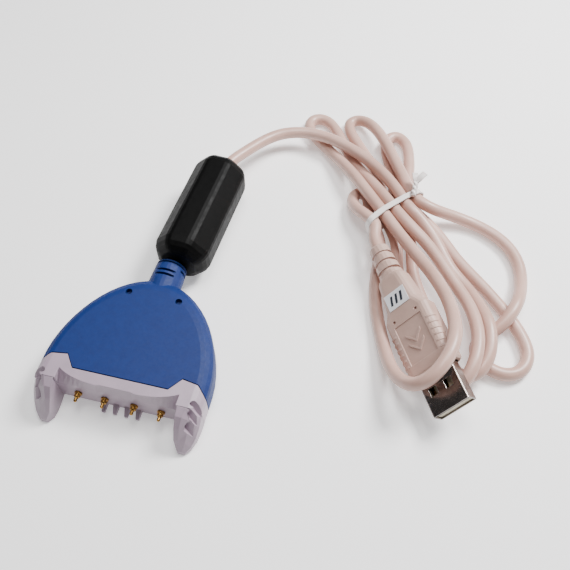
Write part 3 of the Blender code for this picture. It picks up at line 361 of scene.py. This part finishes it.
def dress(objects: Iterable[bpy.types.Object], finish: Finish) -> None:
    """Gives objects one finish, making its material on first use.

    Args:
        objects: Pieces whose material slots all take the finish.
        finish: Finish to apply.
    """
    if finish.name not in _made:
        _made[finish.name] = finish.make()
    for obj in objects:
        if not obj.data.materials:
            obj.data.materials.append(_made[finish.name])
        for index in range(len(obj.data.materials)):
            obj.data.materials[index] = _made[finish.name]


def cad(*names: str) -> list[bpy.types.Object]:
    """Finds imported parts.

    Args:
        names: Node names.

    Returns:
        Their objects, in the same order.
    """
    return [bpy.data.objects[name] for name in names]


def mesh_piece(name: str, bm: bmesh.types.BMesh, finish: Finish,
               sharp: float = 35.0) -> bpy.types.Object:
    """Turns a bmesh in metres into a dressed piece that rides on the programmer.

    Args:
        name: Piece name.
        bm: Mesh, freed here.
        finish: Its finish.
        sharp: Angle in degrees above which an edge stays sharp.

    Returns:
        The new object.
    """
    bmesh.ops.recalc_face_normals(bm, faces=bm.faces)
    mesh = bpy.data.meshes.new(name)
    bm.to_mesh(mesh)
    bm.free()
    mesh.shade_smooth()
    mesh.set_sharp_from_angle(angle=math.radians(sharp))
    obj = bpy.data.objects.new(name, mesh)
    bpy.context.scene.collection.objects.link(obj)
    dress([obj], finish)
    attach(obj, BODY)
    return obj


def sweep(rings: Sequence[Sequence[Vector]], closed: bool = False) -> bmesh.types.BMesh:
    """Skins rings of equal length, capping the ends or closing the loop.

    Args:
        rings: Points of each ring in order.
        closed: Whether the last ring joins the first.

    Returns:
        The skinned mesh.
    """
    bm = bmesh.new()
    loops = [[bm.verts.new(p) for p in ring] for ring in rings]
    pairs = list(zip(loops, loops[1:] + loops[:1])) if closed else list(zip(loops, loops[1:]))
    size = len(loops[0])
    for here, there in pairs:
        for i in range(size):
            j = (i + 1) % size
            bm.faces.new((here[i], here[j], there[j], there[i]))
    if not closed:
        bm.faces.new(reversed(loops[0]))
        bm.faces.new(loops[-1])
    return bm


def gathered(parts: Iterable[bmesh.types.BMesh]) -> bmesh.types.BMesh:
    """Puts several loose shells into one mesh.

    Args:
        parts: Meshes, freed here.

    Returns:
        One mesh with every shell in it.
    """
    whole = bmesh.new()
    for part in parts:
        spare = bpy.data.meshes.new("spare")
        part.to_mesh(spare)
        part.free()
        whole.from_mesh(spare)
        bpy.data.meshes.remove(spare)
    return whole


@dataclass(frozen=True)
class SoftLight:
    """One square area light: place and side in millimetres, power in watts."""

    name: str
    place: tuple[float, float, float]
    side: float
    power: float


@dataclass
class Studio:
    """Camera, pale floor and soft lights round the object. Lengths in millimetres."""

    eye: tuple[float, float, float] = (62.08, -79.74, 175.5)
    tilt: float = 33.6
    turn: float = 13.57
    lens: float = 41.5
    sensor: float = 36.0
    nearest: float = 5.0
    aim: tuple[float, float, float] = (45.0, 30.0, 0.0)
    lights: tuple[SoftLight, ...] = (SoftLight("key_light", (260.0, 260.0, 380.0), 160.0, 4.6),
                                     SoftLight("fill_light", (-300.0, -160.0, 420.0), 420.0, 0.12),
                                     SoftLight("top_light", (40.0, 140.0, 600.0), 260.0, 2.6))
    floor_size: float = 4000.0
    floor_drop: float = 0.1
    floor_colour: str = "#FBFAFA"
    floor_glow: float = 0.42
    surround_colour: str = "#F6F7FA"
    surround_glow: float = 0.12

    def camera(self) -> None:
        """Sets the camera at the object's viewing angle."""
        data = bpy.data.cameras.new("camera")
        data.lens = self.lens
        data.sensor_width = self.sensor
        data.clip_start = self.nearest * MM
        obj = bpy.data.objects.new("camera", data)
        obj.location = [v * MM for v in self.eye]
        obj.rotation_euler = (math.radians(self.tilt), 0.0, math.radians(self.turn))
        bpy.context.scene.collection.objects.link(obj)
        bpy.context.scene.camera = obj

    def floor(self) -> None:
        """Lays the plain pale floor just under the object."""
        half = self.floor_size / 2 * MM
        bm = bmesh.new()
        corners = ((-half, -half), (half, -half), (half, half), (-half, half))
        bm.faces.new([bm.verts.new((x, y, -self.floor_drop * MM)) for x, y in corners])
        mesh = bpy.data.meshes.new("floor")
        bm.to_mesh(mesh)
        bm.free()
        obj = bpy.data.objects.new("floor", mesh)
        bpy.context.scene.collection.objects.link(obj)
        mat = bpy.data.materials.new("pale_floor")
        mat.use_nodes = True
        shader = mat.node_tree.nodes["Principled BSDF"]
        shader.inputs["Base Color"].default_value = linear(self.floor_colour)
        shader.inputs["Roughness"].default_value = 0.9
        shader.inputs["Emission Color"].default_value = linear(self.floor_colour)
        shader.inputs["Emission Strength"].default_value = self.floor_glow
        mesh.materials.append(mat)

    def hang(self, light: SoftLight) -> None:
        """Hangs one light, turned to the object.

        Args:
            light: Light to hang.
        """
        data = bpy.data.lights.new(light.name, "AREA")
        data.shape = "SQUARE"
        data.size = light.side * MM
        data.energy = light.power
        obj = bpy.data.objects.new(light.name, data)
        obj.location = Vector(light.place) * MM
        towards = Vector(self.aim) * MM - obj.location
        obj.rotation_euler = towards.to_track_quat("-Z", "Y").to_euler()
        bpy.context.scene.collection.objects.link(obj)

    def build(self) -> None:
        """Builds camera, floor, lights and a dim white surround."""
        self.camera()
        self.floor()
        for light in self.lights:
            self.hang(light)
        world = bpy.data.worlds.new("surround")
        world.use_nodes = True
        backdrop = world.node_tree.nodes["Background"]
        backdrop.inputs["Color"].default_value = linear(self.surround_colour)
        backdrop.inputs["Strength"].default_value = self.surround_glow
        bpy.context.scene.world = world
        LOG.info("studio: camera, floor and %d soft lights", len(self.lights))


@dataclass
class PlugFrame:
    """Where the plug lies: mouth in millimetres and turns in degrees."""

    mouth: tuple[float, float, float] = (90.2, -0.5, 9.2)
    yaw: float = 30.0
    roll: float = 45.0
    pitch: float = -1.5

    def turn(self) -> Matrix:
        """Works out the rotation from plug axes to the world.

        Returns:
            The rotation.
        """
        yaw = Matrix.Rotation(math.radians(self.yaw), 3, "Z")
        pitch = Matrix.Rotation(math.radians(self.pitch), 3, "X")
        return yaw @ pitch @ Matrix.Rotation(math.radians(-self.roll), 3, "Y")

    def at(self, x: float, y: float, z: float) -> Vector:
        """Turns plug millimetres into world metres.

        Args:
            x: Across the plug.
            y: Back from its mouth along it.
            z: Out of its marked face.

        Returns:
            The point in metres.
        """
        return (Vector(self.mouth) + self.turn() @ Vector((x, y, z))) * MM


# How the lead eases from the boot's axis to the bead's: share of the bead's length, share of the step left.
BORE_EASE = ((0.02, 1.0), (0.09, 0.80), (0.18, 0.42), (0.3, 0.10), (0.45, 0.0), (0.7, 0.0), (0.9, 0.0))


@dataclass
class Lead:
    """The round lead from the head's crimp, through boot and bead, to the plug. Lengths in millimetres."""

    plug: PlugFrame
    diameter: float = 4.0
    crimp_y: float = 8.4
    boot_end: float = 27.2
    axis_z: float = 7.1
    bead_near: tuple[float, float, float] = (1.9, 27.75, 8.8)
    bead_yaw: float = -3.7
    bead_length: float = 42.0
    plug_length: float = 57.0
    inner_mould_end: float = 27.3
    gap: float = 0.3
    route: list[tuple[float, float, float]] = field(default_factory=lambda: list(ROUTE))

    def points(self) -> list[Vector]:
        """Gathers every point that draws the curve.

        Returns:
            Points from crimp to plug in millimetres.
        """
        near = Vector(self.bead_near)
        yaw = math.radians(self.bead_yaw)
        along = Vector((-math.sin(yaw), math.cos(yaw), 0.0))
        mouth = Vector((0.0, self.boot_end + self.gap, self.axis_z))
        points = [Vector((0.0, self.crimp_y, self.axis_z)),
                  Vector((0.0, (self.crimp_y + self.boot_end) / 2, self.axis_z)),
                  Vector((0.0, self.boot_end - 3.0, self.axis_z)), mouth]
        for share, left in BORE_EASE:
            points.append(near + along * self.bead_length * share + (mouth - near) * left)
        points += [Vector(p) for p in self.route]
        for back in (self.plug_length + 2.5, self.plug_length, self.plug_length - 3, self.plug_length - 8,
                     self.inner_mould_end + 8, self.inner_mould_end + self.gap):
            points.append(self.plug.at(0.0, back, 0.0) / MM)
        return points

    def curve_points(self, steps: int = 12) -> list[Vector]:
        """Draws the smooth curve round the points as a uniform cubic B-spline.

        Args:
            steps: Samples between two route points.

        Returns:
            Points along the lead's centreline in metres.
        """
        pts = self.points()
        pts = [2 * pts[0] - pts[1]] + pts + [2 * pts[-1] - pts[-2]]
        line: list[Vector] = []
        for a, b, c, d in zip(pts, pts[1:], pts[2:], pts[3:]):
            for k in range(steps):
                t = k / steps
                line.append((a * (1 - t) ** 3 + b * (3 * t ** 3 - 6 * t * t + 4)
                             + c * (3 * t * (1 + t - t * t) + 1) + d * t ** 3) / 6 * MM)
        line.append(pts[-2] * MM)
        return line

    def build(self, on_it: Sequence[bpy.types.Object]) -> bpy.types.Object:
        """Args:
            on_it: Pieces carried by the lead; not used.

        Returns:
            The lead's curve object.
        """
        line = self.curve_points()
        data = bpy.data.curves.new("lead_jacket", "CURVE")
        data.dimensions = "3D"
        data.bevel_depth = self.diameter / 2 * MM
        data.bevel_resolution = 5
        data.use_fill_caps = True
        spline = data.splines.new("POLY")
        spline.points.add(len(line) - 1)
        for knot, p in zip(spline.points, line):
            knot.co = (*p, 1.0)
        spline.use_smooth = True
        lead = bpy.data.objects.new("lead_jacket", data)
        bpy.context.scene.collection.objects.link(lead)
        dress([lead], BEIGE_CABLE)
        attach(lead, BODY)
        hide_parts("usb_cable")
        return lead


@dataclass
class Tie:
    """Ribbon tie pulled round the hank and twisted at its right. Lengths in millimetres.

    lowest is how low the band's inner and outer faces may come. bow is how far the band is shifted along
    the hank, how far its middle bows back from that, and the length of the bow's half wave. knot is how far
    the knot lies in from the band's right end and above its top. heading is the way the twist points,
    across, along and up. Each of the tails has its spread and its length.
    """

    centre: tuple[float, float] = (63.9, 66.4)
    across: tuple[float, float] = (0.66, 0.75)
    ribbon: float = 2.0
    thick: float = 0.45
    lead_radius: float = 2.0
    slack: float = 0.35
    reach: float = 14.0
    lowest: tuple[float, float] = (0.12, 0.02)
    bow: tuple[float, float, float] = (0.4, 1.2, 25.0)
    knot: tuple[float, float] = (3.6, 0.9)
    heading: tuple[float, float, float] = (0.75, -0.62, 0.16)
    twist_back: float = 1.5
    twist_length: float = 5.6
    twist_turns: float = 1.6
    tail_start: float = 3.6
    tails: tuple[tuple[float, float], ...] = ((0.55, 4.4), (-0.5, 3.6))

    def axes(self) -> tuple[Vector, Vector]:
        """Works out the tie's own directions in plan.

        Returns:
            Unit vectors across the hank and along it.
        """
        out = Vector((*self.across, 0.0)).normalized()
        return out, Vector((out.y, -out.x, 0.0))

    def outline(self, strands: Sequence[tuple[float, float]]) -> list[tuple[float, float]]:
        """Stretches the ribbon round the strands as a string would lie.

        Args:
            strands: Place of each strand's centre across and up.

        Returns:
            Convex loop of points, anticlockwise.
        """
        radius = self.lead_radius + self.slack
        angles = [math.tau * k / 28 for k in range(28)]
        cloud = sorted((n + radius * math.cos(a), z + radius * math.sin(a))
                       for n, z in strands for a in angles)

        def half(points: Iterable[tuple[float, float]]) -> list[tuple[float, float]]:
            """Keeps the points of one side of the hull.

            Args:
                points: All points, in order across the hank.

            Returns:
                Points of this side, without the last, which starts the other side.
            """
            kept: list[tuple[float, float]] = []
            for p in points:
                while len(kept) > 1:
                    (ax, az), (bx, bz) = kept[-2:]
                    if (bx - ax) * (p[1] - az) - (bz - az) * (p[0] - ax) > 1e-9:
                        break
                    kept.pop()
                kept.append(p)
            return kept[:-1]

        return half(cloud) + half(reversed(cloud))

    def strands(self, line: Sequence[Vector]) -> list[tuple[float, float]]:
        """Finds where the lead passes through the tie.

        Args:
            line: Centreline of the lead in metres.

        Returns:
            Across and up of each crossing, in millimetres.
        """
        out, run = self.axes()
        found = []
        for p, q in zip(line, line[1:]):
            a, b = (v / MM - Vector((*self.centre, 0.0)) for v in (p, q))
            s, t = a.dot(run), b.dot(run)
            if s * t < 0 and abs(a.dot(out)) < self.reach:
                at = a.lerp(b, s / (s - t))
                found.append((at.dot(out), at.z))
        return found

    def build(self, line: Sequence[Vector]) -> list[bpy.types.Object]:
        """Makes the loop and its twisted ends.

        Args:
            line: Centreline of the lead in metres.

        Returns:
            The tie's pieces.
        """
        strands = self.strands(line)
        out, run = self.axes()
        loop = self.outline(strands)
        pieces = [self.band(loop)]
        right = max(n for n, _ in loop)
        top = max(z for _, z in loop)
        inset, lift = self.knot
        knot = Vector((*self.centre, 0.0)) + out * (right - inset) + Vector((0, 0, top + lift))
        across, along, up = self.heading
        heading = (out * across + run * along + Vector((0, 0, up))).normalized()
        pieces.append(self.twist(knot - heading * self.twist_back, heading))
        for index, (spread, length) in enumerate(self.tails):
            start = knot + heading * self.tail_start
            tail = (heading + run * spread + Vector((0, 0, 0.1))).normalized()
            pieces.append(self.tail(f"tie_end_{index + 1}", start, tail, length))
        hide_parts("twist_tie")
        LOG.info("tie: round %d strands", len(strands))
        return pieces

    def band(self, loop: Sequence[tuple[float, float]]) -> bpy.types.Object:
        """Makes the closed ribbon, bowed a little along the hank and flat on the table below.

        Args:
            loop: Its inner line, across and up, in millimetres.

        Returns:
            The ribbon.
        """
        out, run = self.axes()
        base = Vector((*self.centre, 0.0))
        middle = (sum(n for n, _ in loop) / len(loop), sum(z for _, z in loop) / len(loop))
        forward, rise, span = self.bow
        low_in, low_out = self.lowest
        side = run * self.ribbon / 2
        rings = []
        for n, z in loop:
            away = Vector((n - middle[0], (z - middle[1]) * 2.2)).normalized() * self.thick
            shift = run * (forward - rise * math.cos(math.pi * (n - middle[0]) / span))
            inner = base + out * n + Vector((0, 0, max(z, low_in)))
            outer = base + out * (n + away.x) + Vector((0, 0, max(z + away.y, low_out)))
            edges = ((inner, -side), (outer, -side * 0.92), (outer, side * 0.92), (inner, side))
            rings.append([(p + shift + s) * MM for p, s in edges])
        return mesh_piece("tie_loop", sweep(rings, closed=True), TIE_PP, 50.0)

    def twist(self, start: Vector, heading: Vector) -> bpy.types.Object:
        """Makes the stretch where the two ribbon ends are wound round each other.

        Args:
            start: Its start in millimetres.
            heading: Unit direction.

        Returns:
            The twisted piece.
        """
        side = heading.cross(Vector((0, 0, 1))).normalized()
        up = side.cross(heading)
        core, lobe, steps = 0.55, 0.42, 44
        rings = []
        for i in range(steps + 1):
            centre = start + heading * self.twist_length * i / steps
            turn = math.tau * self.twist_turns * i / steps
            ring = []
            for a in (math.tau * k / 16 for k in range(16)):
                r = core + lobe * abs(math.cos(a - turn)) ** 1.5
                ring.append((centre + side * r * math.cos(a) + up * r * math.sin(a)) * MM)
            rings.append(ring)
        return mesh_piece("tie_twist", sweep(rings), TIE_PP, 60.0)

    def tail(self, name: str, start: Vector, heading: Vector, length: float) -> bpy.types.Object:
        """Makes one loose ribbon end that curls a little.

        Args:
            name: Piece name.
            start: Its start in millimetres.
            heading: Unit direction.
            length: Its length in millimetres.

        Returns:
            The ribbon end.
        """
        side = heading.cross(Vector((0, 0, 1))).normalized()
        curl, swing, steps = 0.7, 2.6, 8
        rings = []
        for i in range(steps + 1):
            t = i / steps
            p = start + heading * length * t + Vector((0, 0, curl * math.sin(swing * t)))
            up = Vector((0, 0, self.thick / 2))
            half = side * (0.5 + 0.5 * min(1.0, t * 3))
            rings.append([(p + a) * MM for a in (-half - up, half - up, half + up, -half + up)])
        return mesh_piece(name, sweep(rings), TIE_PP, 50.0)


@dataclass
class Plug:
    """The plug: moulded grip, metal shell, contacts and printed label. Lengths in millimetres."""

    frame: PlugFrame
    face: float = 3.75
    label_start: float = 33.6
    label_end: float = 39.0
    panel_depth: float = 0.3
    grip_half: float = 7.75
    corner: float = 2.3
    ribs: int = 6
    rib_first: float = 15.8
    rib_pitch: float = 2.0
    contacts: int = 4

    def slab(self, outline: Sequence[tuple[float, float]], low: float, high: float) -> bmesh.types.BMesh:
        """Raises a flat outline from one height over the plug's axis to another.

        Args:
            outline: Points across and along the plug.
            low: Underside height.
            high: Top height.

        Returns:
            The slab's mesh.
        """
        return sweep([[self.frame.at(x, y, z) for x, y in outline] for z in (low, high)])

    def build(self) -> list[bpy.types.Object]:
        """Dresses the plug's parts and adds its moulded and printed marks.

        Returns:
            The pieces made here.
        """
        dress(cad("plug_overmould"), BEIGE_PLUG)
        dress(cad("plug_shell"), NICKEL)
        dress(cad("plug_tongue"), IVORY)
        dress(cad("plug_premould"), POLYTHENE)
        dress(cad("plug_label"), LABEL)
        dress(cad(*(f"plug_contact_{i + 1}" for i in range(self.contacts))), GOLD)
        pieces = [self.print_marks(), self.panel_mark(), self.grip_ribs(-1), self.grip_ribs(1)]
        LOG.info("plug: dressed, with %d moulded and printed marks", len(pieces))
        return pieces

    def print_marks(self) -> bpy.types.Object:
        """Prints the label: plain slanted bars, without letters.

        Returns:
            The bars as one piece.
        """
        middle = (self.label_start + self.label_end) / 2
        tall, wide, pitch, left = 1.5, 0.85, 1.75, -2.6
        paper, ink = self.face + 0.2, self.face + 0.225
        bars = []
        for x in (left + pitch * index for index in range(3)):
            outline = [(x, middle - tall), (x + wide, middle - tall), (x + 2 * wide, middle + tall),
                       (x + wide, middle + tall)]
            bars.append(self.slab(outline, paper, ink))
        return mesh_piece("label_bars", gathered(bars), PRINT)

    def panel_mark(self) -> bpy.types.Object:
        """Moulds a raised plain double chevron, pointing at the mouth, in the sunk panel.

        Returns:
            Both chevrons as one piece.
        """
        half, band, rise = 2.6, 0.85, 2.6
        chevrons = []
        for tip in (18.2, 21.2):
            outline = [(0.0, tip), (half, tip + rise), (half, tip + rise + band), (0.0, tip + band),
                       (-half, tip + rise + band), (-half, tip + rise)]
            chevrons.append(self.slab(outline, self.face - self.panel_depth - 0.05, self.face - 0.02))
        return mesh_piece("panel_chevrons", gathered(chevrons), BEIGE_PLUG)

    def grip_ribs(self, side: int) -> bpy.types.Object:
        """Moulds the rounded finger ribs on one side of the grip.

        Args:
            side: 1 for the plug's right, -1 for its left.

        Returns:
            The ribs as one piece.
        """
        root, swell, steps = self.corner - 0.25, 0.22, 8
        ribs = []
        for y in (self.rib_first + self.rib_pitch * index for index in range(self.ribs)):
            rings = []
            for step in range(steps + 1):
                a = math.radians(-12 + 104 * step / steps)
                proud = self.corner + swell * math.sin(math.pi * step / steps) ** 0.5
                section = ((root, -0.55), (proud, -0.28), (proud, 0.28), (root, 0.55))
                rings.append([self.frame.at(side * (self.grip_half - self.corner + r * math.cos(a)), y + b,
                                            self.face - self.corner + r * math.sin(a)) for r, b in section])
            ribs.append(sweep(rings))
        name = "grip_ribs_left" if side < 0 else "grip_ribs_right"
        return mesh_piece(name, gathered(ribs), BEIGE_PLUG)


@dataclass
class ClipHead:
    """The clip head: blue jacket, grey nose, sprung pins and the board inside."""

    chips: tuple[str, ...] = ("microcontroller_chip", "interface_chip", "voltage_regulator")
    pins: int = 4
    resistors: int = 4

    def build(self) -> None:
        """Dresses every part of the head."""
        dress(cad("head_jacket"), BLUE_PVC)
        dress(cad("nose_housing"), GREY_PC)
        dress(cad("pin_carrier"), NYLON)
        numbers = range(1, self.pins + 1)
        dress(cad(*(f"pin_barrel_{i}" for i in numbers), *(f"pin_plunger_{i}" for i in numbers)), GOLD)
        dress(cad(*(f"pin_spring_{i}" for i in numbers)), WIRE_STEEL)
        dress(cad("circuit_board"), SOLDER_MASK)
        dress(cad(*self.chips), EPOXY)
        dress(cad("crystal"), CAN)
        dress(cad("capacitor_left", "capacitor_right"), TANTALUM)
        dress(cad(*(f"resistor_{i + 1}" for i in range(self.resistors))), GLAZE)
        dress(cad("cable_crimp"), CRIMP)
        for name, finish in CORES.items():
            dress(cad(name), finish)
        LOG.info("clip head: dressed, %d sprung pins", self.pins)


@dataclass
class Bead:
    """The ferrite bead in its moulded cover."""

    cover: str = "ferrite_cover"
    core: str = "ferrite_core"

    def build(self) -> None:
        """Dresses cover and core."""
        dress(cad(self.cover), BLACK_PVC)
        dress(cad(self.core), FERRITE)
        LOG.info("bead: dressed")


def main() -> None:
    """Builds the studio and every sub-assembly in order."""
    logging.basicConfig(level=logging.INFO, format="%(name)s: %(message)s")
    Studio().build()
    plug_frame = PlugFrame()
    lead = Lead(plug_frame)
    ClipHead().build()
    Bead().build()
    plug = Plug(plug_frame)
    on_it = plug.build() + Tie().build(lead.curve_points())
    on_it += cad("ferrite_cover", "ferrite_core", "plug_overmould", "plug_label", "plug_shell", "plug_tongue",
                 "plug_premould", *(f"plug_contact_{i + 1}" for i in range(plug.contacts)))
    lead.build(on_it)


if __name__ == "__main__":
    main()
